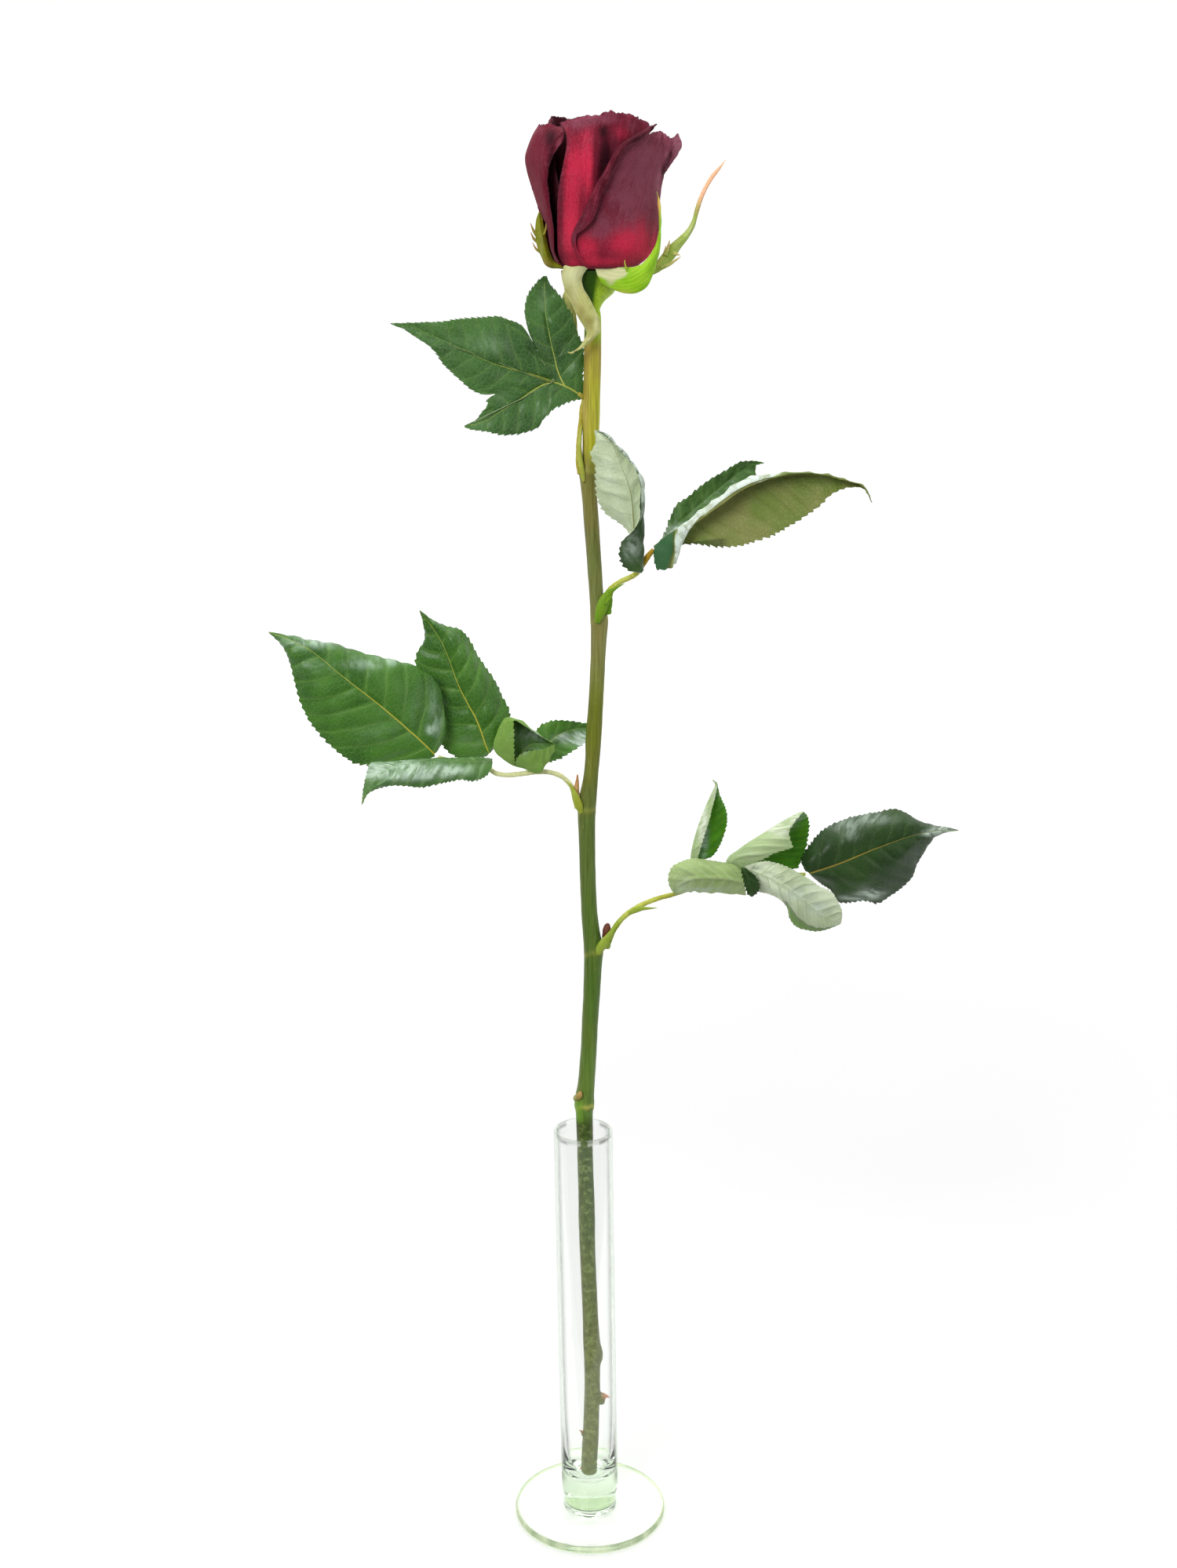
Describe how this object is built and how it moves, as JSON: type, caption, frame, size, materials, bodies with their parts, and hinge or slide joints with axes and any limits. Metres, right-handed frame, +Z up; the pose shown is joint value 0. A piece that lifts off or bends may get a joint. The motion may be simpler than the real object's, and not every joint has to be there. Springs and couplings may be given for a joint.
{
  "type": "cut rose in a bud vase",
  "caption": "Long-stemmed dark red rose, half open, with toothed compound leaves, standing in a pale glass bud vase that has a straight tube on a flat round foot.",
  "frame": {"origin": "centre of the underside of the vase's round foot", "axes": "+Z up along the vase and stem, -Y towards the side of the flower that faces the viewer, +X to the viewer's right"},
  "size_m": [0.3056, 0.0803, 0.6468],
  "materials": {
    "vase_glass": "gloss",
    "stem": "satin",
    "petiole": "satin",
    "bud": "matte",
    "sepal": "matte",
    "leaf": "satin",
    "petal_outer": "matte",
    "petal_inner": "matte"
  },
  "bodies": {
    "root": {"vase": "vase_glass", "stem": "stem", "petiole_a": "petiole", "petiole_b": "petiole", "petiole_c": "petiole", "petiole_d": "petiole", "bud_low": "bud", "bud_c": "bud", "bud_d": "bud", "leaflet_b_upright": "leaf", "leaflet_b_lateral": "leaf", "leaflet_b_terminal": "leaf", "leaflet_c_terminal": "leaf", "leaflet_c_upper": "leaf", "leaflet_c_lower": "leaf", "leaflet_c_small_front": "leaf", "leaflet_c_small_back": "leaf", "leaflet_d_upright": "leaf", "leaflet_d_rolled": "leaf", "leaflet_d_upper": "leaf", "leaflet_d_lower": "leaf", "leaflet_d_base_lobe": "leaf", "leaflet_d_terminal": "leaf", "petal_front": "petal_outer", "petal_centre": "petal_outer", "petal_left": "petal_outer", "petal_back_left": "petal_outer", "petal_back_right": "petal_outer", "petal_inner_1": "petal_inner", "petal_inner_2": "petal_inner", "petal_inner_3": "petal_inner", "petal_inner_4": "petal_inner", "petal_inner_5": "petal_inner", "petal_inner_6": "petal_inner", "petal_inner_7": "petal_inner", "petal_inner_8": "petal_inner", "petal_inner_9": "petal_inner", "petal_inner_10": "petal_inner", "sepal_front": "sepal", "sepal_right_front": "sepal", "sepal_right": "sepal", "sepal_left": "sepal", "sepal_back": "sepal", "leaf_a_blade": "leaf"}
  },
  "joints": []
}
